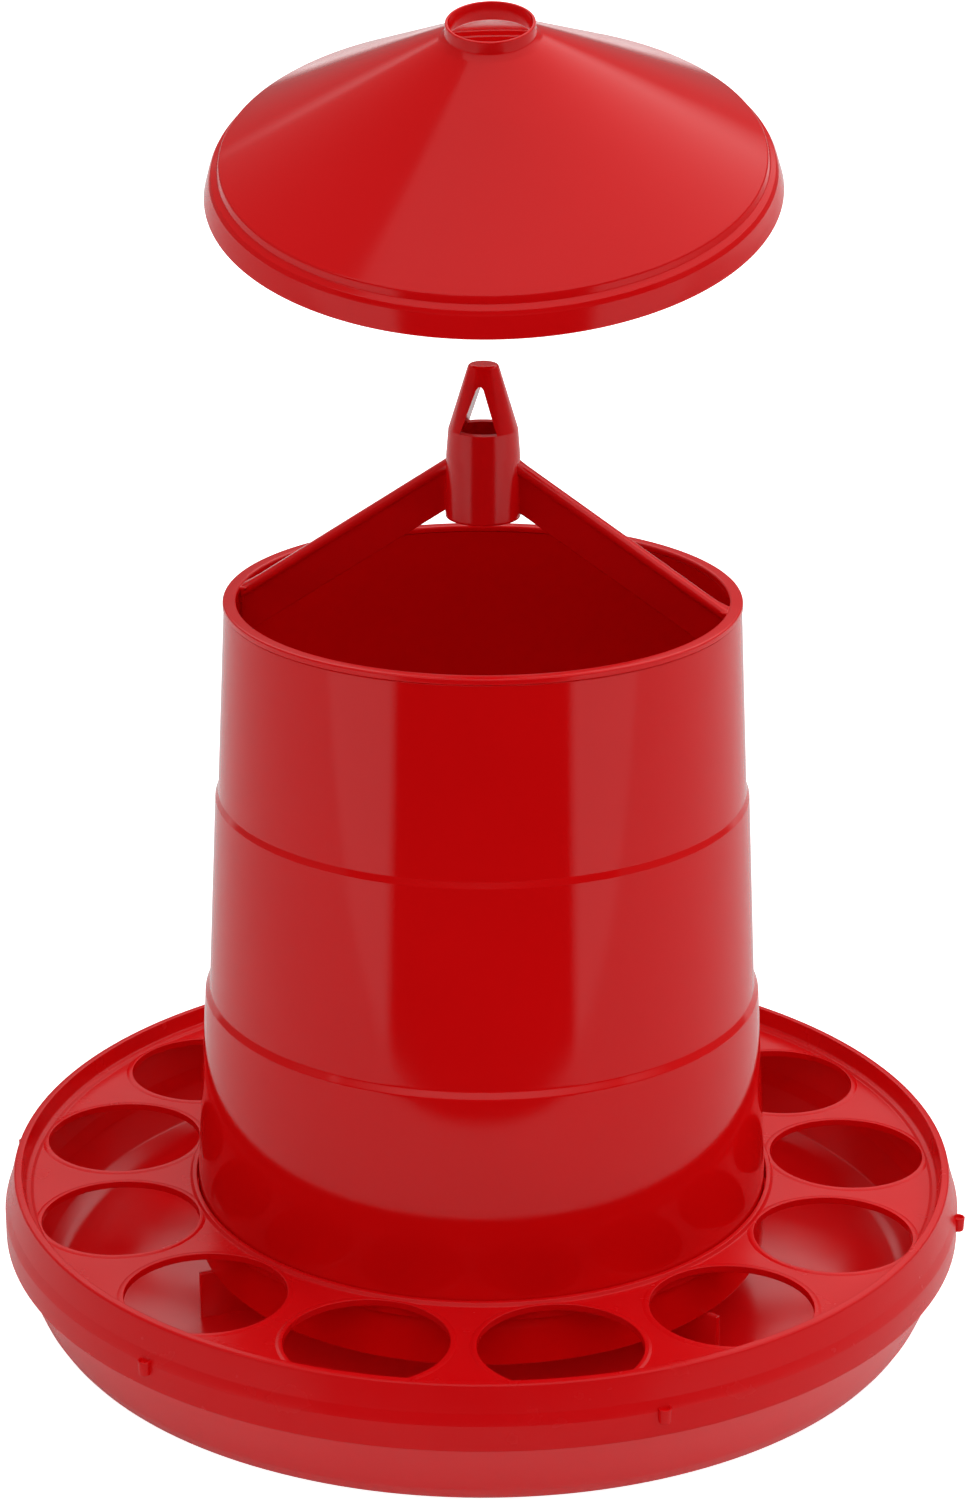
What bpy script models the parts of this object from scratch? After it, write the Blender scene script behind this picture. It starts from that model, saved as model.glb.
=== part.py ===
# Hanging tube feeder for poultry: a bowl, a feed-saver ring with round feeding
# holes, a tube hopper, a hanger yoke and a conical lid.
#
# Units are metres and +Z is up. The origin is the centre of the bowl's base.
# The yoke's arms lie along X. The lid is shown lifted and tipped forward, and
# its parent empty sits on the axis that brings it down level onto the yoke.

import math

import bmesh
import bpy
from mathutils import Matrix, Vector

MM = 0.001
TURN_STEPS = 64
HOLE_STEPS = 24
SHARP_ANGLE = math.radians(28.0)

# Heights above the bowl's base, and radii, in millimetres.
PLATE_Z = 48.0

# Feed-saver ring.
HOLE_COUNT = 13
HOLE_PITCH_R = 146.9
HOLE_R = 30.3
HOLE_LIP_R = 31.5
HOLE_LIP_RISE = 0.7
PEG_COUNT = 6
PEG_TURN = math.radians(-0.45)
PEG_WIDTH = 5.2
PEG_HEIGHT = 5.8
PEG_TIP_R = 191.9
PEG_Z = PLATE_Z - 8.2
NIB_WIDTH = 12.0
NIB_TIP_R = 185.3
NIB_TOP_Z = PLATE_Z - 12.4
NIB_HEIGHT = 3.4

# Bayonet of the ring on the bowl.
SLOT_WIDTH = 15.5
SLOT_TURN = math.radians(-10.0)

# Bowl fins that carry the hopper.
FIN_COUNT = 3
FIN_FIRST = math.radians(90.0)
FIN_THICK = 2.6
FIN_POST_R = 105.4
FIN_FOOT_R = 117.5
FIN_TOP_Z = PLATE_Z - 12.0
FOOT_LEDGE_Z = PLATE_Z - 26.3
TAB_OUTER_R = 109.2
TAB_INNER_R = 101.0
TAB_THICK = 3.0
TAB_HALF = 9.5
STOP_START = 10.1
STOP_END = 12.6
STOP_INNER_R = 106.6
STOP_DROP = 4.2

# Hopper.
LUG_INNER_R = 106.2
LUG_OUTER_R = 111.4
LUG_TOP_Z = PLATE_Z - 15.3
LUG_HEIGHT = 3.2
LUG_HALF = 9.6
SLIT_AZIMUTH = math.radians(-9.0)
SLIT_WALL_R = 104.6
SLIT_WIDTH = 1.2
SLIT_HEIGHT = 8.0
SLIT_DEPTH = 0.6
SLIT_Z = PLATE_Z + 114.0

# Yoke.
ARM_TOP_WIDTH = 6.4
ARM_WEB_WIDTH = 3.0
ARM_FLANGE_DEPTH = 4.4
ARM_DEPTH = 19.6
ARM_HUB_R = 12.0
ARM_HUB_Z = PLATE_Z + 292.36
ARM_END_R = 92.3
ARM_END_Z = PLATE_Z + 237.87
KEY_START_R = 90.8
KEY_END_R = 94.8
KEY_TOP_Z = PLATE_Z + 238.2
KEY_BOTTOM_Z = PLATE_Z + 231.4
KEY_GAP = 0.35
HUB_BORE_R = 9.5
WINDOW_HALF = 7.0
WINDOW_BASE_Z = PLATE_Z + 303.2
WINDOW_APEX_Z = PLATE_Z + 320.8

# Lid.
LID_CLOSED_Z = PLATE_Z + 233.0
LID_AXIS_POINT = Vector((0.0, -489.0, 364.6))
LID_AXIS = Vector((0.9946, 0.1016, -0.0219)).normalized()
LID_TILT = math.radians(18.7)

RED = (0.62, 0.012, 0.016, 1.0)
RED_LIGHT = (0.66, 0.02, 0.024, 1.0)
RED_RING = (0.58, 0.01, 0.014, 1.0)


def clear_scene():
    for item in list(bpy.data.objects):
        bpy.data.objects.remove(item, do_unlink=True)


def make_collection(name):
    coll = bpy.data.collections.new(name)
    bpy.context.scene.collection.children.link(coll)
    return coll


def plastic(name, colour, roughness):
    material = bpy.data.materials.new(name)
    material.use_nodes = True
    shader = material.node_tree.nodes["Principled BSDF"]
    shader.inputs["Base Color"].default_value = colour
    shader.inputs["Roughness"].default_value = roughness
    shader.inputs["Metallic"].default_value = 0.0
    material.diffuse_color = colour
    return material


def profile_mesh(name, points, closed):
    """A chain of edges in the XZ plane; points are (radius, height) in mm."""
    mesh = bpy.data.meshes.new(name)
    verts = [(r * MM, 0.0, z * MM) for r, z in points]
    edges = [(i, i + 1) for i in range(len(points) - 1)]
    if closed:
        edges.append((len(points) - 1, 0))
    mesh.from_pydata(verts, edges, [])
    mesh.update()
    return mesh


def turned(name, points, closed, coll, steps=TURN_STEPS):
    """A solid turned about Z. The profile runs down its outer side."""
    item = bpy.data.objects.new(name, profile_mesh(name, points, closed))
    coll.objects.link(item)
    screw = item.modifiers.new("turn", "SCREW")
    screw.angle = 2.0 * math.pi
    screw.steps = steps
    screw.render_steps = steps
    screw.use_merge_vertices = True
    screw.merge_threshold = 0.00001
    return item


def slab(name, outline, width, coll):
    """A flat plate: an outline in the XZ plane (mm) thickened along Y."""
    mesh = bpy.data.meshes.new(name)
    verts = [(x * MM, 0.0, z * MM) for x, z in outline]
    mesh.from_pydata(verts, [], [tuple(range(len(verts)))])
    mesh.update()
    item = bpy.data.objects.new(name, mesh)
    coll.objects.link(item)
    skin = item.modifiers.new("thickness", "SOLIDIFY")
    skin.thickness = width * MM
    skin.offset = 0.0
    return item


def block(name, radii, sides, heights, coll):
    """A box from a radial span (X), a sideways span (Y) and a height span."""
    spans = (radii, sides, heights)
    middle = [(low + high) / 2.0 * MM for low, high in spans]
    sizes = [(high - low) * MM for low, high in spans]
    place = Matrix.Translation(middle) @ Matrix.Diagonal(sizes + [1.0])
    mesh = bpy.data.meshes.new(name)
    shape = bmesh.new()
    bmesh.ops.create_cube(shape, size=1.0, matrix=place)
    shape.to_mesh(mesh)
    shape.free()
    item = bpy.data.objects.new(name, mesh)
    coll.objects.link(item)
    return item


def around(item, azimuth):
    item.rotation_euler = (0.0, 0.0, azimuth)


def boolean(target, operation, coll):
    mod = target.modifiers.new(operation.lower(), "BOOLEAN")
    mod.operation = operation
    mod.solver = "EXACT"
    mod.operand_type = "COLLECTION"
    mod.collection = coll


def bake(item, material):
    """Keep the shape its modifiers make, cleaned, shaded and coloured."""
    bpy.context.view_layer.update()
    graph = bpy.context.evaluated_depsgraph_get()
    mesh = bpy.data.meshes.new_from_object(item.evaluated_get(graph))
    item.modifiers.clear()
    shape = bmesh.new()
    shape.from_mesh(mesh)
    bmesh.ops.remove_doubles(shape, verts=shape.verts, dist=0.000005)
    bmesh.ops.dissolve_degenerate(shape, edges=shape.edges, dist=0.000002)
    shape.to_mesh(mesh)
    shape.free()
    mesh.shade_smooth()
    mesh.set_sharp_from_angle(angle=SHARP_ANGLE)
    mesh.materials.clear()
    mesh.materials.append(material)
    item.data = mesh


def hide_tools(coll):
    for item in coll.objects:
        item.hide_render = True
        item.display_type = "WIRE"
        item.hide_set(True)


def above_plate(points):
    """Turn heights above the ring's plate into heights above the base."""
    return [(r, z + PLATE_Z) for r, z in points]


def make_bowl(parts):
    profile = above_plate([
        (0.0, -6.0),
        (7.0, -7.0),
        (12.0, -9.6),
        (60.0, -42.0),
        (68.0, -45.4),
        (160.0, -45.6),
        (169.0, -44.2),
        (175.4, -39.2),
        (181.6, -26.4),
        (182.7, -20.0),
        (182.7, -5.9),
        (183.3, -5.3),
        (185.6, -5.3),
        (186.2, -5.9),
        (186.2, -11.9),
        (184.9, -12.2),
        (184.9, -17.25),
        (187.1, -17.25),
        (184.1, -24.2),
        (178.3, -38.6),
        (175.2, -43.4),
        (169.6, -46.8),
        (161.0, -48.0),
        (142.0, -48.0),
        (139.6, -47.4),
        (67.0, -47.4),
        (60.0, -45.4),
        (12.0, -12.6),
        (0.0, -8.6),
    ])
    bowl = turned("feed_bowl", profile, False, parts)
    fins = make_collection("bowl_fins")
    for index in range(FIN_COUNT):
        azimuth = FIN_FIRST + index * 2.0 * math.pi / FIN_COUNT
        outline = [
            (20.0, PLATE_Z - 16.6),
            (56.0, PLATE_Z - 40.6),
            (64.0, PLATE_Z - 45.6),
            (FIN_FOOT_R, PLATE_Z - 46.4),
            (FIN_FOOT_R, FOOT_LEDGE_Z),
            (FIN_POST_R, FOOT_LEDGE_Z),
            (FIN_POST_R, FIN_TOP_Z - 1.0),
            (FIN_POST_R - 4.0, FIN_TOP_Z - 0.4),
            (34.0, FIN_TOP_Z - 8.0),
        ]
        around(slab("fin_%d" % index, outline, FIN_THICK, fins), azimuth)
        tab = block(
            "tab_%d" % index,
            (TAB_INNER_R, TAB_OUTER_R),
            (-TAB_HALF, STOP_END),
            (FIN_TOP_Z - TAB_THICK, FIN_TOP_Z),
            fins,
        )
        around(tab, azimuth)
        stop = block(
            "stop_%d" % index,
            (STOP_INNER_R, TAB_OUTER_R - 0.2),
            (STOP_START, STOP_END - 0.2),
            (FIN_TOP_Z - TAB_THICK - STOP_DROP, FIN_TOP_Z - 1.0),
            fins,
        )
        around(stop, azimuth)
    boolean(bowl, "UNION", fins)
    slots = make_collection("bowl_slots")
    for index in range(PEG_COUNT):
        azimuth = SLOT_TURN + index * 2.0 * math.pi / PEG_COUNT
        slot = block(
            "slot_%d" % index,
            (185.0, 190.0),
            (-SLOT_WIDTH / 2.0, SLOT_WIDTH / 2.0),
            (PLATE_Z - 13.5, PLATE_Z),
            slots,
        )
        around(slot, azimuth)
    boolean(bowl, "DIFFERENCE", slots)
    bake(bowl, plastic("bowl_red_plastic", RED_LIGHT, 0.28))
    hide_tools(fins)
    hide_tools(slots)
    return bowl


def make_ring(parts):
    profile = above_plate([
        (182.6, 7.2),
        (183.9, 6.9),
        (184.7, 5.9),
        (187.4, -2.6),
        (188.3, -5.2),
        (188.8, -6.4),
        (188.9, -16.9),
        (186.8, -16.9),
        (186.7, -6.6),
        (185.6, -3.4),
        (184.2, -2.0),
        (115.8, -2.0),
        (115.4, -5.6),
        (113.2, -5.6),
        (113.2, 1.0),
        (113.7, 1.5),
        (114.9, 1.4),
        (115.7, 0.0),
        (177.6, 0.0),
        (178.6, 0.8),
        (180.8, 1.4),
        (181.5, 6.4),
    ])
    ring = turned("feed_saver_ring", profile, True, parts)
    lips = make_collection("ring_lips")
    holes = make_collection("ring_holes")
    lip_profile = [
        (HOLE_LIP_R - 0.9, PLATE_Z + HOLE_LIP_RISE),
        (HOLE_LIP_R, PLATE_Z + HOLE_LIP_RISE - 0.4),
        (HOLE_LIP_R, PLATE_Z - 1.2),
        (0.0, PLATE_Z - 1.2),
    ]
    hole_profile = [
        (0.0, PLATE_Z + 3.0),
        (HOLE_R, PLATE_Z + 3.0),
        (HOLE_R, PLATE_Z - 4.0),
        (0.0, PLATE_Z - 4.0),
    ]
    for index in range(HOLE_COUNT):
        azimuth = (index + 0.5) * 2.0 * math.pi / HOLE_COUNT
        place = Matrix.Rotation(azimuth, 4, "Z")
        place = place @ Matrix.Translation((HOLE_PITCH_R * MM, 0.0, 0.0))
        lip_points = [(0.0, PLATE_Z + HOLE_LIP_RISE)] + lip_profile
        lip = turned("lip_%d" % index, lip_points, False, lips, HOLE_STEPS)
        lip.matrix_world = place
        hole = turned("hole_%d" % index, hole_profile, False, holes, HOLE_STEPS)
        hole.matrix_world = place
    pegs = make_collection("ring_pegs")
    for index in range(PEG_COUNT):
        azimuth = index * 2.0 * math.pi / PEG_COUNT
        low = PEG_Z - PEG_HEIGHT / 2.0
        high = PEG_Z + PEG_HEIGHT / 2.0
        outline = [
            (187.4, low - 0.6),
            (PEG_TIP_R - 0.9, low),
            (PEG_TIP_R, low + 0.7),
            (PEG_TIP_R, high - 0.7),
            (PEG_TIP_R - 0.9, high),
            (187.4, high + 0.2),
        ]
        around(slab("peg_%d" % index, outline, PEG_WIDTH, pegs), azimuth + PEG_TURN)
        nib = block(
            "nib_%d" % index,
            (NIB_TIP_R, 187.8),
            (-NIB_WIDTH / 2.0, NIB_WIDTH / 2.0),
            (NIB_TOP_Z - NIB_HEIGHT, NIB_TOP_Z),
            pegs,
        )
        around(nib, azimuth)
    boolean(ring, "UNION", lips)
    boolean(ring, "UNION", pegs)
    boolean(ring, "DIFFERENCE", holes)
    bake(ring, plastic("ring_red_plastic", RED_RING, 0.3))
    hide_tools(lips)
    hide_tools(holes)
    hide_tools(pegs)
    return ring


def make_hopper(parts):
    profile = above_plate([
        (96.2, 235.9),
        (97.3, 235.7),
        (97.5, 234.6),
        (101.0, 163.8),
        (102.3, 160.0),
        (106.1, 83.6),
        (108.0, 79.6),
        (112.6, 1.5),
        (112.7, -26.0),
        (110.5, -26.0),
        (110.4, 1.5),
        (105.7, 78.8),
        (103.7, 82.8),
        (99.9, 159.2),
        (98.6, 163.0),
        (92.8, 235.9),
        (93.9, 235.9),
        (93.9, 230.6),
        (96.2, 230.6),
        (96.2, 232.3),
        (96.5, 233.4),
        (96.2, 234.5),
    ])
    hopper = turned("hopper_tube", profile, True, parts)
    lugs = make_collection("hopper_lugs")
    for index in range(FIN_COUNT):
        azimuth = FIN_FIRST + index * 2.0 * math.pi / FIN_COUNT
        lug = block(
            "lug_%d" % index,
            (LUG_INNER_R, LUG_OUTER_R),
            (-LUG_HALF, LUG_HALF),
            (LUG_TOP_Z - LUG_HEIGHT, LUG_TOP_Z),
            lugs,
        )
        around(lug, azimuth)
    cuts = make_collection("hopper_cuts")
    slit = block(
        "slit",
        (SLIT_WALL_R - SLIT_DEPTH, SLIT_WALL_R + 3.0),
        (-SLIT_WIDTH / 2.0, SLIT_WIDTH / 2.0),
        (SLIT_Z - SLIT_HEIGHT / 2.0, SLIT_Z + SLIT_HEIGHT / 2.0),
        cuts,
    )
    around(slit, SLIT_AZIMUTH)
    notch_half = ARM_TOP_WIDTH / 2.0 + KEY_GAP
    for index in range(2):
        notch = block(
            "notch_%d" % index,
            (ARM_END_R - 1.0, KEY_END_R + KEY_GAP),
            (-notch_half, notch_half),
            (KEY_BOTTOM_Z - KEY_GAP, KEY_TOP_Z),
            cuts,
        )
        around(notch, index * math.pi)
    boolean(hopper, "UNION", lugs)
    boolean(hopper, "DIFFERENCE", cuts)
    bake(hopper, plastic("hopper_red_plastic", RED, 0.22))
    hide_tools(lugs)
    hide_tools(cuts)
    return hopper


def arm_outline(depth_from, depth_to):
    """Side view of one arm between two depths under its sloping top."""
    return [
        (ARM_HUB_R, ARM_HUB_Z - depth_from),
        (ARM_END_R, ARM_END_Z - depth_from),
        (ARM_END_R, ARM_END_Z - depth_to),
        (ARM_HUB_R, ARM_HUB_Z - depth_to),
    ]


def make_yoke(parts):
    rim = above_plate([
        (93.1, 238.4),
        (97.1, 238.4),
        (97.7, 237.9),
        (97.8, 236.2),
        (95.9, 236.2),
        (95.9, 234.4),
        (96.2, 233.4),
        (95.9, 232.4),
        (95.7, 231.0),
        (94.3, 231.0),
        (94.2, 236.2),
        (92.6, 236.2),
        (92.6, 237.9),
    ])
    yoke = turned("hanger_yoke", rim, True, parts)
    pieces = make_collection("yoke_pieces")
    hub_profile = above_plate([
        (0.0, 327.7),
        (4.4, 327.7),
        (5.6, 326.7),
        (13.0, 303.0),
        (13.8, 293.5),
        (14.1, 269.8),
        (13.7, 269.2),
        (HUB_BORE_R + 0.8, 269.2),
        (HUB_BORE_R, 303.4),
        (0.0, 303.4),
    ])
    turned("hub", hub_profile, False, pieces, 36)
    for index in range(2):
        azimuth = index * math.pi
        top = arm_outline(0.0, ARM_FLANGE_DEPTH)
        around(slab("arm_top_%d" % index, top, ARM_TOP_WIDTH, pieces), azimuth)
        web = arm_outline(ARM_FLANGE_DEPTH - 0.6, ARM_DEPTH)
        around(slab("arm_web_%d" % index, web, ARM_WEB_WIDTH, pieces), azimuth)
        key = [
            (KEY_START_R, KEY_TOP_Z),
            (ARM_END_R, KEY_TOP_Z - 0.6),
            (KEY_END_R, KEY_TOP_Z - 1.2),
            (KEY_END_R, KEY_BOTTOM_Z),
            (KEY_START_R, KEY_BOTTOM_Z),
        ]
        around(slab("arm_key_%d" % index, key, ARM_TOP_WIDTH, pieces), azimuth)
    window = make_collection("yoke_window")
    triangle = [
        (-WINDOW_HALF, WINDOW_BASE_Z),
        (WINDOW_HALF, WINDOW_BASE_Z),
        (1.3, WINDOW_APEX_Z - 1.2),
        (0.0, WINDOW_APEX_Z),
        (-1.3, WINDOW_APEX_Z - 1.2),
    ]
    slab("window", triangle, 40.0, window)
    boolean(yoke, "UNION", pieces)
    boolean(yoke, "DIFFERENCE", window)
    bake(yoke, plastic("yoke_red_plastic", RED, 0.26))
    hide_tools(pieces)
    hide_tools(window)
    return yoke


def make_lid(parts):
    """The lid in its own frame: its lower edge is at height zero."""
    profile = [
        (15.2, 65.2),
        (15.9, 64.8),
        (16.1, 60.9),
        (17.2, 59.4),
        (19.4, 58.0),
        (97.6, 14.3),
        (99.2, 12.9),
        (99.7, 10.9),
        (101.2, 9.9),
        (102.2, 8.2),
        (104.9, 0.0),
        (103.1, 0.0),
        (100.5, 7.8),
        (98.2, 9.2),
        (97.2, 12.1),
        (16.4, 57.3),
        (14.9, 58.4),
        (14.9, 65.2),
    ]
    lid = turned("lid_cover", profile, True, parts)
    bake(lid, plastic("lid_red_plastic", RED, 0.24))
    return lid


def place_lid(lid, parts):
    """Hang the lid from an empty on the axis it lifts and tips about."""
    pivot = bpy.data.objects.new("lid_pivot", None)
    pivot.empty_display_size = 0.02
    pivot.location = LID_AXIS_POINT * MM
    parts.objects.link(pivot)
    lid.parent = pivot
    lid.location = (Vector((0.0, 0.0, LID_CLOSED_Z)) - LID_AXIS_POINT) * MM
    pivot.rotation_mode = "AXIS_ANGLE"
    pivot.rotation_axis_angle = (LID_TILT, LID_AXIS.x, LID_AXIS.y, LID_AXIS.z)


def main():
    clear_scene()
    parts = make_collection("poultry_feeder")
    make_bowl(parts)
    make_ring(parts)
    make_hopper(parts)
    make_yoke(parts)
    lid = make_lid(parts)
    place_lid(lid, parts)


main()
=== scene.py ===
import math

import bmesh
import bpy
from mathutils import Matrix, Vector


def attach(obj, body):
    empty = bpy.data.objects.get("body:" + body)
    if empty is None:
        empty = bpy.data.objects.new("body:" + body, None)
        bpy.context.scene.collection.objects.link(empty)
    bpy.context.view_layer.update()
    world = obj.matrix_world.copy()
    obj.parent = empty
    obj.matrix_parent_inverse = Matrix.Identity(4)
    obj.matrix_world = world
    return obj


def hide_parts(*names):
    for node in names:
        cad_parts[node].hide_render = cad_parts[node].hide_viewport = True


MM = 0.001
PLATE_Z = 48.0
STEPS = 192
HOLE_COUNT = 13
HOLE_PITCH_R = 146.9
HOLE_R = 30.3
HOLE_STEPS = 96
PEG_COUNT = 6
PEG_CENTRE_R = 189.4
PEG_STEPS = 32
PEG_TURN = math.radians(-0.45)
SLOT_TURN = math.radians(-10.0)
FIN_COUNT = 3
FIN_TURN = math.radians(90.0)
FIN_WIDTH = 2.6
HUB_STEPS = 96
ARM_COUNT = 2
ARM_TOP_Z = PLATE_Z + 292.36
ARM_START_R = 12.0
ARM_FALL = 0.6786
ARM_DEPTH = 19.6
ARM_HALF = 3.2
ARM_WEB_HALF = 1.5
ARM_FLANGE = 4.4
ARM_RIM_R = 92.6
LID_CLOSED_Z = PLATE_Z + 233.0
LID_AXIS_POINT = Vector((0.0, -489.0, 364.6))
LID_AXIS = Vector((0.9946, 0.1016, -0.0219)).normalized()
LID_TILT = math.radians(18.7)

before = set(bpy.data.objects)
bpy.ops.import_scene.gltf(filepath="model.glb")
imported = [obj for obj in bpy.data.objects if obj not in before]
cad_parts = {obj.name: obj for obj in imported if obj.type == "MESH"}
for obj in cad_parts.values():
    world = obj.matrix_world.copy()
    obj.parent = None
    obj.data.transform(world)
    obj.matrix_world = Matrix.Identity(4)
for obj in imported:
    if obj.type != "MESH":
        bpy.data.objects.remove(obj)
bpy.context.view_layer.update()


# ---------------------------------------------------------------- shapes

def rounded(points):
    """Corners (radius, height, fillet) in mm become a chain with round corners."""
    count = len(points)
    chain = []
    for index, (r, z, fillet) in enumerate(points):
        here = Vector((r, z))
        before = Vector(points[index - 1][:2])
        after = Vector(points[(index + 1) % count][:2])
        back = before - here
        ahead = after - here
        if fillet <= 0.0 or back.length < 1e-6 or ahead.length < 1e-6:
            chain.append(here)
            continue
        angle = back.angle(ahead)
        if angle > math.radians(176.0):
            chain.append(here)
            continue
        cut = fillet / math.tan(angle / 2.0)
        cut = min(cut, 0.49 * back.length, 0.49 * ahead.length)
        start = here + back.normalized() * cut
        end = here + ahead.normalized() * cut
        turns = max(2, int(math.degrees(math.pi - angle) / 12.0))
        for step in range(turns + 1):
            t = step / turns
            a = start.lerp(here, t)
            b = here.lerp(end, t)
            chain.append(a.lerp(b, t))
    return chain


def new_object(name, mesh):
    item = bpy.data.objects.new(name, mesh)
    bpy.context.scene.collection.objects.link(item)
    return item


def turned(name, points, steps=STEPS, closed=True, lift=PLATE_Z):
    """A solid turned about Z from a profile that runs down its outer side."""
    chain = rounded(points)
    verts = []
    faces = []
    rows = []
    for point in chain:
        if point.x < 1e-4:
            rows.append([len(verts)])
            verts.append((0.0, 0.0, (point.y + lift) * MM))
            continue
        row = []
        for step in range(steps):
            azimuth = 2.0 * math.pi * step / steps
            row.append(len(verts))
            x = point.x * math.cos(azimuth)
            y = point.x * math.sin(azimuth)
            verts.append((x * MM, y * MM, (point.y + lift) * MM))
        rows.append(row)
    pairs = list(zip(rows, rows[1:]))
    if closed:
        pairs.append((rows[-1], rows[0]))
    for upper, lower in pairs:
        for step in range(steps):
            after = (step + 1) % steps
            if len(upper) == 1 and len(lower) == 1:
                continue
            if len(upper) == 1:
                faces.append((upper[0], lower[step], lower[after]))
            elif len(lower) == 1:
                faces.append((upper[after], upper[step], lower[0]))
            else:
                faces.append((upper[after], upper[step], lower[step], lower[after]))
    mesh = bpy.data.meshes.new(name)
    mesh.from_pydata(verts, [], faces)
    mesh.update()
    mesh.shade_smooth()
    mesh.set_sharp_from_angle(angle=math.radians(40.0))
    return new_object(name, mesh)


def bar(name, outline, width, bevel, segments=3):
    """A plate in the XZ plane, centred on Y, with rounded edges."""
    mesh = bpy.data.meshes.new(name)
    shape = bmesh.new()
    verts = [shape.verts.new((x * MM, -width / 2.0 * MM, z * MM)) for x, z in outline]
    face = shape.faces.new(verts)
    grown = bmesh.ops.extrude_face_region(shape, geom=[face])
    moved = [v for v in grown["geom"] if isinstance(v, bmesh.types.BMVert)]
    bmesh.ops.translate(shape, vec=(0.0, width * MM, 0.0), verts=moved)
    bmesh.ops.recalc_face_normals(shape, faces=shape.faces)
    bmesh.ops.bevel(
        shape,
        geom=list(shape.edges),
        offset=bevel * MM,
        segments=segments,
        profile=0.5,
        affect="EDGES",
        clamp_overlap=True,
    )
    bmesh.ops.remove_doubles(shape, verts=shape.verts, dist=1e-6)
    shape.to_mesh(mesh)
    shape.free()
    mesh.shade_smooth()
    mesh.set_sharp_from_angle(angle=math.radians(50.0))
    return new_object(name, mesh)


def box_piece(name, low, high, bevel):
    outline = [(low[0], low[2]), (high[0], low[2]), (high[0], high[2]), (low[0], high[2])]
    item = bar(name, outline, high[1] - low[1], bevel)
    item.data.transform(Matrix.Translation((0.0, (low[1] + high[1]) / 2.0 * MM, 0.0)))
    return item


def turn(item, azimuth):
    item.data.transform(Matrix.Rotation(azimuth, 4, "Z"))


def apply_boolean(target, operation, tools):
    """One exact Boolean for each tool, baked into the mesh."""
    coll = bpy.data.collections.new("tools_of_" + target.name)
    bpy.context.scene.collection.children.link(coll)
    for tool in tools:
        coll.objects.link(tool)
    mod = target.modifiers.new("cut", "BOOLEAN")
    mod.operation = operation
    mod.solver = "EXACT"
    mod.operand_type = "COLLECTION"
    mod.collection = coll
    bpy.context.view_layer.update()
    graph = bpy.context.evaluated_depsgraph_get()
    mesh = bpy.data.meshes.new_from_object(target.evaluated_get(graph))
    target.modifiers.clear()
    target.data = mesh
    for tool in list(tools):
        bpy.data.objects.remove(tool, do_unlink=True)
    bpy.data.collections.remove(coll)


def clean(item, angle=35.0):
    shape = bmesh.new()
    shape.from_mesh(item.data)
    bmesh.ops.remove_doubles(shape, verts=shape.verts, dist=2e-6)
    bmesh.ops.dissolve_degenerate(shape, edges=shape.edges, dist=1e-6)
    shape.to_mesh(item.data)
    shape.free()
    item.data.shade_smooth()
    item.data.set_sharp_from_angle(angle=math.radians(angle))


# ------------------------------------------------------------- materials

class Nodes:
    """A short way to write a node tree."""

    def __init__(self, tree):
        self.tree = tree

    def add(self, kind, **settings):
        node = self.tree.nodes.new(kind)
        for key, value in settings.items():
            setattr(node, key, value)
        return node

    def link(self, output, target):
        self.tree.links.new(output, target)

    def noise(self, coordinates, scale, detail=2.0, stretch=(1.0, 1.0, 1.0)):
        mapping = self.add("ShaderNodeMapping")
        mapping.inputs["Scale"].default_value = stretch
        self.link(coordinates, mapping.inputs["Vector"])
        node = self.add("ShaderNodeTexNoise")
        node.inputs["Scale"].default_value = scale
        node.inputs["Detail"].default_value = detail
        self.link(mapping.outputs["Vector"], node.inputs["Vector"])
        return node.outputs["Fac"]

    def ramp(self, value, low, high, start=0.22, end=0.78):
        node = self.add("ShaderNodeMapRange", clamp=True)
        node.inputs["From Min"].default_value = start
        node.inputs["From Max"].default_value = end
        node.inputs["To Min"].default_value = low
        node.inputs["To Max"].default_value = high
        self.link(value, node.inputs["Value"])
        return node.outputs["Result"]

    def mix(self, factor, first, second):
        node = self.add("ShaderNodeMix", data_type="RGBA")
        if isinstance(factor, float):
            node.inputs["Factor"].default_value = factor
        else:
            self.link(factor, node.inputs["Factor"])
        for name, value in (("A", first), ("B", second)):
            socket = [s for s in node.inputs if s.name == name and s.type == "RGBA"][0]
            if isinstance(value, tuple):
                socket.default_value = value
            else:
                self.link(value, socket)
        return [s for s in node.outputs if s.type == "RGBA"][0]


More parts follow.
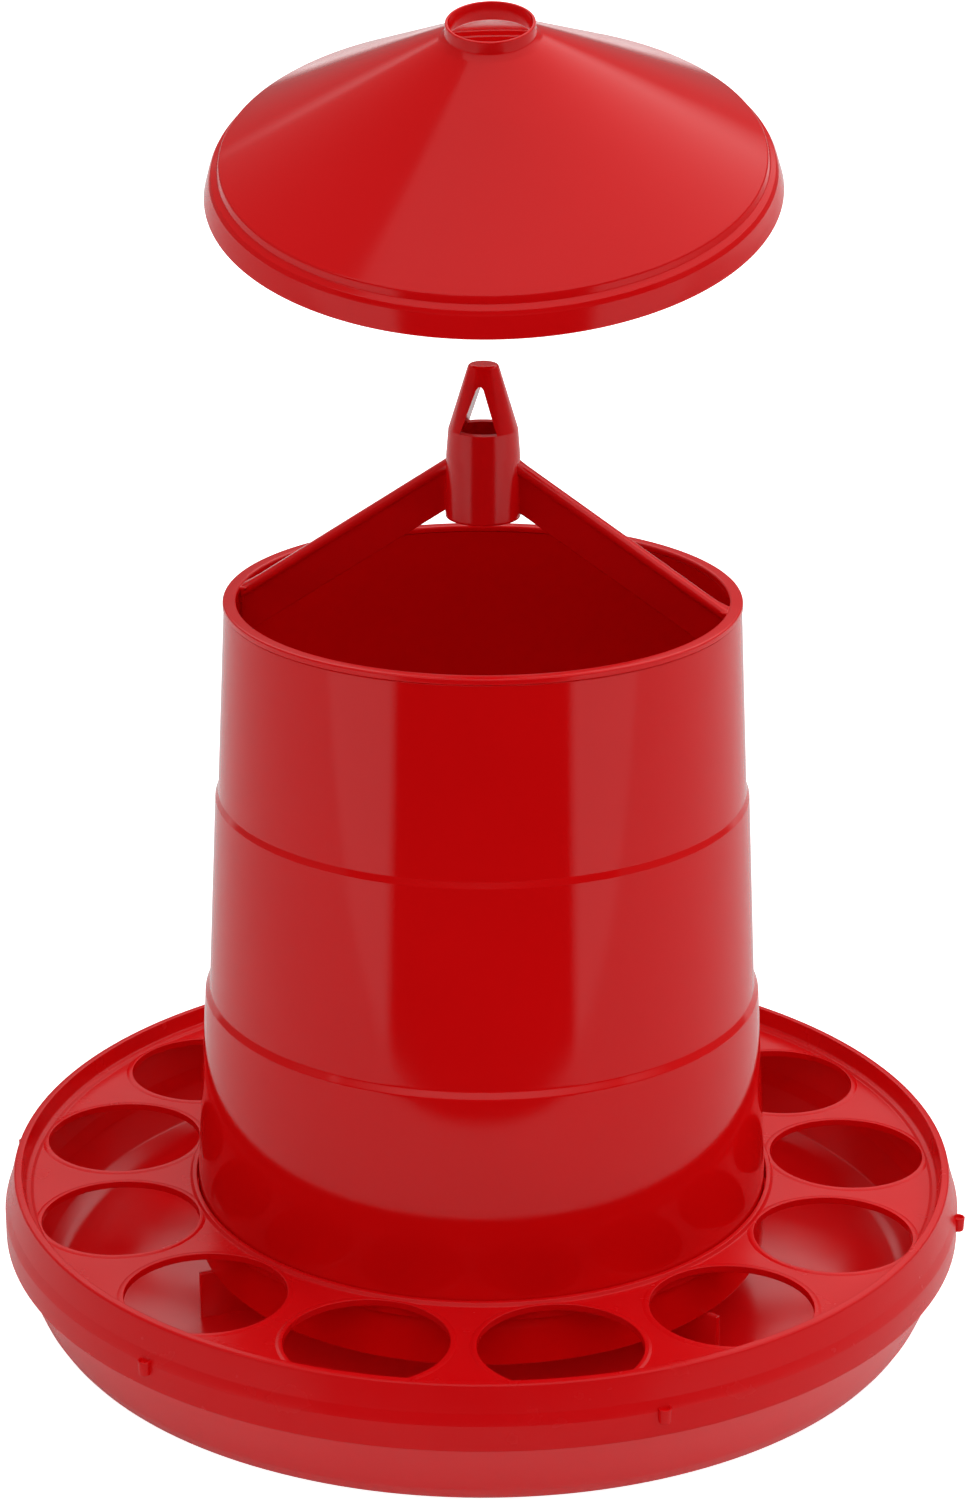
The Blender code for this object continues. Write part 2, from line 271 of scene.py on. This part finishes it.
def red_plastic(name, colour, deep, roughness, grain=0.012, ripple=0.02, shine=0.3):
    """Glossy injection-moulded plastic with cloudy colour, flow streaks and haze."""
    material = bpy.data.materials.new(name)
    material.use_nodes = True
    tree = material.node_tree
    shader = tree.nodes["Principled BSDF"]
    nodes = Nodes(tree)
    place = nodes.add("ShaderNodeTexCoord").outputs["Object"]
    cloud = nodes.ramp(nodes.noise(place, 14.0, 3.0), 0.0, 1.0)
    streak = nodes.ramp(nodes.noise(place, 40.0, 3.0, (1.0, 1.0, 0.12)), 0.0, 0.35)
    base = nodes.mix(cloud, colour, deep)
    base = nodes.mix(streak, base, deep)
    nodes.link(base, shader.inputs["Base Color"])
    haze = nodes.noise(place, 55.0, 4.0)
    nodes.link(nodes.ramp(haze, roughness * 0.85, roughness * 1.25), shader.inputs["Roughness"])
    shader.inputs["IOR"].default_value = 1.5
    shader.inputs["Specular IOR Level"].default_value = shine
    fine = nodes.noise(place, 900.0, 2.0)
    wide = nodes.noise(place, 22.0, 1.0, (1.0, 1.0, 0.5))
    peel = nodes.add("ShaderNodeBump")
    peel.inputs["Strength"].default_value = grain
    peel.inputs["Distance"].default_value = 0.001
    nodes.link(fine, peel.inputs["Height"])
    wave = nodes.add("ShaderNodeBump")
    wave.inputs["Strength"].default_value = ripple
    wave.inputs["Distance"].default_value = 0.004
    nodes.link(wide, wave.inputs["Height"])
    nodes.link(peel.outputs["Normal"], wave.inputs["Normal"])
    nodes.link(wave.outputs["Normal"], shader.inputs["Normal"])
    return material


RED_HOPPER = red_plastic(
    "hopper_red", (0.87, 0.003, 0.004, 1.0), (0.81, 0.002, 0.003, 1.0), 0.07)
RED_YOKE = red_plastic(
    "yoke_red", (0.93, 0.004, 0.006, 1.0), (0.87, 0.002, 0.004, 1.0), 0.18)
RED_LID = red_plastic(
    "lid_red", (0.93, 0.004, 0.006, 1.0), (0.88, 0.003, 0.004, 1.0), 0.12, shine=0.25)
RED_RING = red_plastic(
    "ring_red", (0.84, 0.004, 0.006, 1.0), (0.78, 0.002, 0.004, 1.0), 0.24, ripple=0.01, shine=0.22)
RED_BOWL = red_plastic(
    "bowl_red", (0.92, 0.005, 0.008, 1.0), (0.86, 0.003, 0.005, 1.0), 0.2, shine=0.6)


def dress(item, material, body, node=None):
    item.data.materials.clear()
    item.data.materials.append(material)
    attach(item, body)
    if node:
        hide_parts(node)


# ------------------------------------------------------------------ bowl

def make_bowl():
    bowl = turned("vis_bowl", [
        (0.0, -6.0, 0.0),
        (7.0, -6.4, 3.0),
        (12.0, -9.6, 3.0),
        (60.0, -42.0, 6.0),
        (68.0, -45.4, 8.0),
        (160.0, -45.6, 30.0),
        (169.6, -44.0, 10.0),
        (175.4, -39.2, 3.0),
        (181.6, -26.4, 6.0),
        (182.7, -20.0, 4.0),
        (182.7, -5.3, 0.6),
        (186.2, -5.3, 0.6),
        (186.2, -11.9, 0.3),
        (184.9, -12.2, 0.3),
        (184.9, -17.25, 0.2),
        (187.1, -17.25, 0.5),
        (184.1, -24.2, 10.0),
        (178.3, -38.6, 8.0),
        (174.9, -44.2, 8.0),
        (168.6, -47.4, 10.0),
        (161.0, -48.0, 3.0),
        (142.0, -48.0, 0.4),
        (139.6, -47.4, 0.4),
        (67.0, -47.4, 6.0),
        (60.0, -45.4, 6.0),
        (12.0, -12.6, 6.0),
        (0.0, -8.6, 0.0),
    ], closed=False)
    slots = []
    for index in range(PEG_COUNT):
        slot = box_piece("slot_%d" % index, (185.0, -7.75, 34.5), (190.0, 7.75, 48.0), 0.3)
        turn(slot, SLOT_TURN + index * 2.0 * math.pi / PEG_COUNT)
        slots.append(slot)
    apply_boolean(bowl, "DIFFERENCE", slots)
    clean(bowl)
    dress(bowl, RED_BOWL, "bowl", "feed_bowl")
    for index in range(FIN_COUNT):
        azimuth = FIN_TURN + index * 2.0 * math.pi / FIN_COUNT
        outline = [
            (20.0, 31.4), (56.0, 7.4), (64.0, 2.4), (117.5, 1.6), (117.5, 21.7),
            (105.4, 21.7), (105.4, 35.0), (101.4, 35.6), (34.0, 28.0),
        ]
        fin = bar("fin_%d" % (index + 1), outline, FIN_WIDTH, 0.5)
        tab = box_piece("fin_tab_%d" % (index + 1), (101.0, -9.5, 33.0), (109.2, 12.6, 36.0), 0.5)
        stop = box_piece("fin_stop_%d" % (index + 1), (106.6, 10.1, 28.8), (109.0, 12.4, 35.0), 0.4)
        for piece in (fin, tab, stop):
            turn(piece, azimuth)
            dress(piece, RED_BOWL, "bowl")


# ------------------------------------------------------------------ ring

def hole_place(index):
    """The place of one feeding hole, half a pitch on from +X."""
    azimuth = (index + 0.5) * 2.0 * math.pi / HOLE_COUNT
    return Matrix.Rotation(azimuth, 4, "Z") @ Matrix.Translation((HOLE_PITCH_R * MM, 0, 0))


def make_ring():
    ring = turned("vis_ring", [
        (182.8, 7.8, 0.8),
        (184.9, 7.6, 1.2),
        (187.4, -2.6, 3.0),
        (188.4, -5.2, 1.2),
        (188.9, -6.8, 1.2),
        (188.9, -16.9, 0.4),
        (186.8, -16.9, 0.3),
        (186.7, -6.6, 2.0),
        (185.6, -3.4, 2.0),
        (184.2, -2.0, 1.0),
        (115.8, -2.0, 0.5),
        (115.4, -5.6, 0.4),
        (113.1, -5.6, 0.4),
        (113.1, 1.5, 0.6),
        (115.0, 1.5, 0.4),
        (115.8, 0.0, 0.8),
        (177.6, 0.0, 1.0),
        (178.6, 0.9, 0.8),
        (180.6, 1.3, 1.0),
        (181.9, 7.8, 0.5),
    ])
    cuts = []
    for index in range(HOLE_COUNT):
        cut = turned("cut_%d" % index, [
            (0.0, 3.0, 0.0), (HOLE_R + 0.5, 3.0, 0.0), (HOLE_R + 0.5, -4.0, 0.0), (0.0, -4.0, 0.0),
        ], HOLE_STEPS, False)
        cut.data.transform(hole_place(index))
        cuts.append(cut)
    apply_boolean(ring, "DIFFERENCE", cuts)
    clean(ring)
    dress(ring, RED_RING, "ring", "feed_saver_ring")
    for index in range(HOLE_COUNT):
        lip = turned("hole_lip_%02d" % (index + 1), [
            (HOLE_R + 0.1, 0.45, 0.4),
            (HOLE_R + 1.6, 0.35, 1.2),
            (HOLE_R + 3.2, -0.2, 0.3),
            (HOLE_R + 1.2, -1.9, 0.3),
            (HOLE_R, -2.4, 0.3),
        ], HOLE_STEPS)
        lip.data.transform(hole_place(index))
        dress(lip, RED_RING, "ring")
    for index in range(PEG_COUNT):
        azimuth = index * 2.0 * math.pi / PEG_COUNT
        peg = turned("peg_%d" % (index + 1), [
            (0.0, 41.4, 0.0),
            (1.5, 41.5, 0.3),
            (1.8, 42.7, 0.3),
            (2.5, 42.7, 0.3),
            (2.2, 36.9, 0.6),
            (0.0, 36.9, 0.0),
        ], PEG_STEPS, False, 0.0)
        peg.data.transform(Matrix.Translation((PEG_CENTRE_R * MM, 0.0, 0.0)))
        turn(peg, PEG_TURN)
        nib = box_piece("nib_%d" % (index + 1), (185.3, -6.0, 32.2), (187.8, 6.0, 35.6), 0.3)
        for piece in (peg, nib):
            turn(piece, azimuth)
            dress(piece, RED_RING, "ring")


# ---------------------------------------------------------------- hopper

def make_hopper():
    hopper = turned("vis_hopper", [
        (96.2, 235.95, 0.2),
        (97.45, 235.95, 0.5),
        (101.1, 163.1, 1.4),
        (102.3, 160.8, 1.2),
        (106.2, 83.0, 1.6),
        (107.95, 80.4, 1.4),
        (112.6, 1.5, 4.0),
        (112.7, -26.0, 0.6),
        (110.5, -26.0, 0.6),
        (110.4, 1.5, 4.0),
        (105.7, 78.8, 2.5),
        (103.7, 82.8, 3.0),
        (99.9, 159.2, 2.0),
        (98.6, 163.0, 3.0),
        (92.8, 235.95, 0.2),
        (93.9, 235.95, 0.2),
        (93.9, 230.6, 0.3),
        (96.2, 230.6, 0.3),
    ])
    notches = []
    for index in range(ARM_COUNT):
        notch = box_piece("notch_%d" % index, (91.3, -3.4, 279.05), (95.15, 3.4, 286.0), 0.1)
        turn(notch, index * math.pi)
        notches.append(notch)
    apply_boolean(hopper, "DIFFERENCE", notches)
    clean(hopper)
    dress(hopper, RED_HOPPER, "hopper", "hopper_tube")
    for index in range(FIN_COUNT):
        lug = box_piece("lug_%d" % (index + 1), (106.2, -9.6, 29.5), (111.4, 9.6, 32.7), 0.5)
        turn(lug, FIN_TURN + index * 2.0 * math.pi / FIN_COUNT)
        dress(lug, RED_HOPPER, "hopper")


# ------------------------------------------------------------------ yoke

def arm_mesh(name, sections):
    """A loft through closed sections of equal length."""
    shape = bmesh.new()
    rows = [[shape.verts.new(point) for point in section] for section in sections]
    count = len(rows[0])
    for first, second in zip(rows, rows[1:]):
        for index in range(count):
            after = (index + 1) % count
            shape.faces.new((first[index], first[after], second[after], second[index]))
    shape.faces.new(list(reversed(rows[0])))
    shape.faces.new(rows[-1])
    bmesh.ops.recalc_face_normals(shape, faces=shape.faces)
    mesh = bpy.data.meshes.new(name)
    shape.to_mesh(mesh)
    shape.free()
    mesh.shade_smooth()
    mesh.set_sharp_from_angle(angle=math.radians(50.0))
    return new_object(name, mesh)


def arm_section(x, top, half, web_half):
    """A T-shaped section with rounded flange edges, at distance x from the axis."""
    points = []
    for step in range(7):
        angle = math.radians(90.0 - 15.0 * step)
        points.append((half - 2.2 + 2.2 * math.cos(angle), -2.6 + 2.6 * math.sin(angle)))
    points.append((half, -ARM_FLANGE + 0.9))
    points.append((half - 0.4, -ARM_FLANGE + 0.2))
    points.append((web_half + 0.7, -ARM_FLANGE - 0.2))
    points.append((web_half, -ARM_FLANGE - 1.0))
    points.append((web_half, -ARM_DEPTH + 0.8))
    points.append((web_half - 0.7, -ARM_DEPTH))
    mirrored = [(-y, z) for y, z in reversed(points)]
    return [Vector((x * MM, y * MM, (top + z) * MM)) for y, z in points + mirrored]


def make_yoke():
    rim = turned("vis_yoke", [
        (92.7, 238.4, 1.1),
        (97.8, 238.4, 0.9),
        (97.8, 236.15, 0.2),
        (95.9, 236.15, 0.2),
        (95.7, 231.0, 0.5),
        (94.3, 231.0, 0.5),
        (94.2, 236.15, 0.2),
        (92.6, 236.15, 0.2),
    ])
    dress(rim, RED_YOKE, "hopper", "hanger_yoke")
    hub = turned("hub", [
        (0.0, 327.7, 0.0),
        (5.5, 327.7, 1.8),
        (13.0, 303.2, 0.8),
        (13.8, 293.5, 4.0),
        (14.1, 269.2, 1.2),
        (10.3, 269.2, 0.6),
        (9.5, 303.4, 0.0),
        (0.0, 303.4, 0.0),
    ], HUB_STEPS, False)
    window = bar("window", [
        (-7.0, PLATE_Z + 303.2), (7.0, PLATE_Z + 303.2),
        (1.3, PLATE_Z + 319.6), (0.5, PLATE_Z + 320.5), (-0.5, PLATE_Z + 320.5),
        (-1.3, PLATE_Z + 319.6),
    ], 40.0, 0.05, 1)
    apply_boolean(hub, "DIFFERENCE", [window])
    clean(hub, 30.0)
    dress(hub, RED_YOKE, "hopper")
    stations = [12.4, 14.4, 15.0, 16.0, 17.5, 20.0, 34.0, 50.0, 66.0, 80.0, 86.0, 89.0, 91.0, 92.3]
    for index in range(ARM_COUNT):
        sections = []
        for x in stations:
            top = ARM_TOP_Z - ARM_FALL * (x - ARM_START_R)
            flare = max(0.0, 1.0 - (x - 14.0) / 3.0) ** 2 * 0.4
            flare += max(0.0, 1.0 - (ARM_RIM_R - x) / 6.0) ** 2 * 1.5
            top += max(0.0, 1.0 - (ARM_RIM_R - x) / 7.0) ** 2 * 0.6
            web_half = ARM_WEB_HALF + min(flare, 1.0)
            sections.append(arm_section(x, top, ARM_HALF + flare, web_half))
        arm = arm_mesh("arm_%d" % (index + 1), sections)
        key = bar("arm_key_%d" % (index + 1), [
            (90.8, 286.1), (92.3, 285.6), (94.8, 285.0), (94.8, 279.4), (91.6, 279.4),
        ], 6.4, 0.4)
        root = bar("arm_root_%d" % (index + 1), [
            (89.6, 286.0), (94.0, 286.0), (94.0, 284.3), (91.0, 284.3),
        ], 9.0, 0.6)
        for piece in (arm, key, root):
            turn(piece, index * math.pi)
            dress(piece, RED_YOKE, "hopper")


# ------------------------------------------------------------------- lid

def make_lid():
    lid = turned("vis_lid", [
        (16.0, 65.2, 0.5),
        (16.1, 60.9, 1.0),
        (18.0, 58.8, 5.0),
        (98.6, 13.7, 1.6),
        (99.5, 10.9, 0.8),
        (101.6, 9.8, 1.0),
        (102.6, 8.0, 1.2),
        (104.9, 0.0, 0.6),
        (103.1, 0.0, 0.4),
        (100.5, 7.8, 1.2),
        (98.2, 9.2, 1.2),
        (97.2, 12.1, 1.6),
        (16.4, 57.3, 3.0),
        (14.9, 58.4, 1.0),
        (14.9, 65.2, 0.4),
    ], lift=0.0)
    closed = Matrix.Translation((Vector((0.0, 0.0, LID_CLOSED_Z)) - LID_AXIS_POINT) * MM)
    tip = Matrix.Rotation(LID_TILT, 4, LID_AXIS)
    lid.data.transform(Matrix.Translation(LID_AXIS_POINT * MM) @ tip @ closed)
    dress(lid, RED_LID, "lid", "lid_cover")


make_bowl()
make_ring()
make_hopper()
make_yoke()
make_lid()


# ---------------------------------------------------------- studio, camera

VIEW_AZIMUTH = math.radians(-80.5)
VIEW_PITCH = math.radians(19.994)
VIEW_ROLL = math.radians(0.13)
VIEW_DISTANCE = 1.2687
VIEW_HEIGHT = 0.6861
VIEW_LENS = 84.79
VIEW_SENSOR = 36.0
FLOOR_FRONT = 0.62
FLOOR_BACK = 7.0
FLOOR_HALF_WIDTH = 5.0
FLOOR_DROP = 0.0004
toward_camera = Vector((math.cos(VIEW_AZIMUTH), math.sin(VIEW_AZIMUTH), 0.0))
FLOOR_GLOW = 0.05
ROOM_GLOW = 1.18

# Dark cloths: azimuth from the camera, half width, softness, low, high, depth.
CLOTHS = [
    (0.0, 38.0, 2.0, -1.2, 0.10, 0.02),
    (0.0, 62.0, 3.0, 0.10, 0.50, 0.04),
    (-107.0, 42.0, 2.0, 0.0, 1.2, 0.25),
    (0.0, None, 0.0, 0.0, 0.42, 0.16),
]


def make_camera():
    data = bpy.data.cameras.new("photo_view")
    data.sensor_width = VIEW_SENSOR
    data.lens = VIEW_LENS
    camera = bpy.data.objects.new("photo_view", data)
    bpy.context.scene.collection.objects.link(camera)
    camera.location = toward_camera * VIEW_DISTANCE + Vector((0.0, 0.0, VIEW_HEIGHT))
    look = -toward_camera * math.cos(VIEW_PITCH) - Vector((0.0, 0.0, math.sin(VIEW_PITCH)))
    level = look.to_track_quat("-Z", "Y").to_matrix()
    camera.rotation_euler = (level @ Matrix.Rotation(VIEW_ROLL, 3, "Z")).to_euler()
    bpy.context.scene.camera = camera


def make_floor():
    """A white table that ends a little way in front of the object."""
    side = Vector((-toward_camera.y, toward_camera.x, 0.0)) * FLOOR_HALF_WIDTH
    front = toward_camera * FLOOR_FRONT
    back = -toward_camera * FLOOR_BACK
    corners = [front - side, front + side, back + side, back - side]
    mesh = bpy.data.meshes.new("floor")
    mesh.from_pydata([tuple(c - Vector((0, 0, FLOOR_DROP))) for c in corners], [], [(0, 1, 2, 3)])
    mesh.update()
    floor = new_object("floor", mesh)
    material = bpy.data.materials.new("floor_white")
    material.use_nodes = True
    shader = material.node_tree.nodes["Principled BSDF"]
    nodes = Nodes(material.node_tree)
    place = nodes.add("ShaderNodeTexCoord").outputs["Object"]
    tone = nodes.ramp(nodes.noise(place, 3.0), 0.0, 1.0)
    pale = nodes.mix(tone, (0.93, 0.93, 0.93, 1.0), (0.91, 0.91, 0.91, 1.0))
    nodes.link(pale, shader.inputs["Base Color"])
    shader.inputs["Roughness"].default_value = 0.7
    shader.inputs["Emission Color"].default_value = (1.0, 1.0, 1.0, 1.0)
    glow = nodes.add("ShaderNodeMath", operation="MAXIMUM")
    path = nodes.add("ShaderNodeLightPath")
    nodes.link(path.outputs["Is Camera Ray"], glow.inputs[0])
    glow.inputs[1].default_value = FLOOR_GLOW
    nodes.link(glow.outputs["Value"], shader.inputs["Emission Strength"])
    mesh.materials.append(material)


def make_world():
    """Soft white all round, with dark cloths behind and beside the camera."""
    world = bpy.data.worlds.new("studio")
    bpy.context.scene.world = world
    world.use_nodes = True
    tree = world.node_tree
    nodes = Nodes(tree)
    ground = tree.nodes["Background"]
    place = nodes.add("ShaderNodeTexCoord").outputs["Generated"]
    parts = nodes.add("ShaderNodeSeparateXYZ")
    nodes.link(place, parts.inputs["Vector"])
    flat = nodes.add("ShaderNodeCombineXYZ")
    nodes.link(parts.outputs["X"], flat.inputs["X"])
    nodes.link(parts.outputs["Y"], flat.inputs["Y"])
    unit = nodes.add("ShaderNodeVectorMath", operation="NORMALIZE")
    nodes.link(flat.outputs["Vector"], unit.inputs[0])

    def facing(azimuth):
        dot = nodes.add("ShaderNodeVectorMath", operation="DOT_PRODUCT")
        dot.inputs[1].default_value = (math.cos(azimuth), math.sin(azimuth), 0.0)
        nodes.link(unit.outputs["Vector"], dot.inputs[0])
        return dot.outputs["Value"]

    def product(first, second):
        node = nodes.add("ShaderNodeMath", operation="MULTIPLY")
        nodes.link(first, node.inputs[0])
        nodes.link(second, node.inputs[1])
        return node.outputs["Value"]

    def least(first, second):
        node = nodes.add("ShaderNodeMath", operation="MINIMUM")
        nodes.link(first, node.inputs[0])
        nodes.link(second, node.inputs[1])
        return node.outputs["Value"]

    def cloth(azimuth, half, soft, low, high, depth):
        """1 away from the cloth, depth inside it; angles in degrees, heights are sines."""
        above = nodes.ramp(parts.outputs["Z"], 0.0, 1.0, low - 0.03, low + 0.03)
        below = nodes.ramp(parts.outputs["Z"], 1.0, 0.0, high - 0.06, high + 0.06)
        amount = product(above, below)
        if half is not None:
            inner = math.cos(math.radians(half - soft))
            outer = math.cos(math.radians(half + soft))
            amount = product(amount, nodes.ramp(facing(azimuth), 0.0, 1.0, outer, inner))
        return nodes.ramp(amount, 1.0, depth, 0.0, 1.0)

    light = None
    for azimuth, half, soft, low, high, depth in CLOTHS:
        one = cloth(VIEW_AZIMUTH + math.radians(azimuth), half, soft, low, high, depth)
        light = one if light is None else least(light, one)
    glow = nodes.add("ShaderNodeMath", operation="MULTIPLY")
    nodes.link(light, glow.inputs[0])
    glow.inputs[1].default_value = ROOM_GLOW
    path = nodes.add("ShaderNodeLightPath")
    seen = nodes.add("ShaderNodeMath", operation="MAXIMUM")
    nodes.link(glow.outputs["Value"], seen.inputs[0])
    nodes.link(path.outputs["Is Camera Ray"], seen.inputs[1])
    nodes.link(seen.outputs["Value"], ground.inputs["Strength"])
    ground.inputs["Color"].default_value = (1.0, 1.0, 1.0, 1.0)


make_camera()
make_floor()
make_world()
bpy.context.scene.view_settings.view_transform = "Standard"
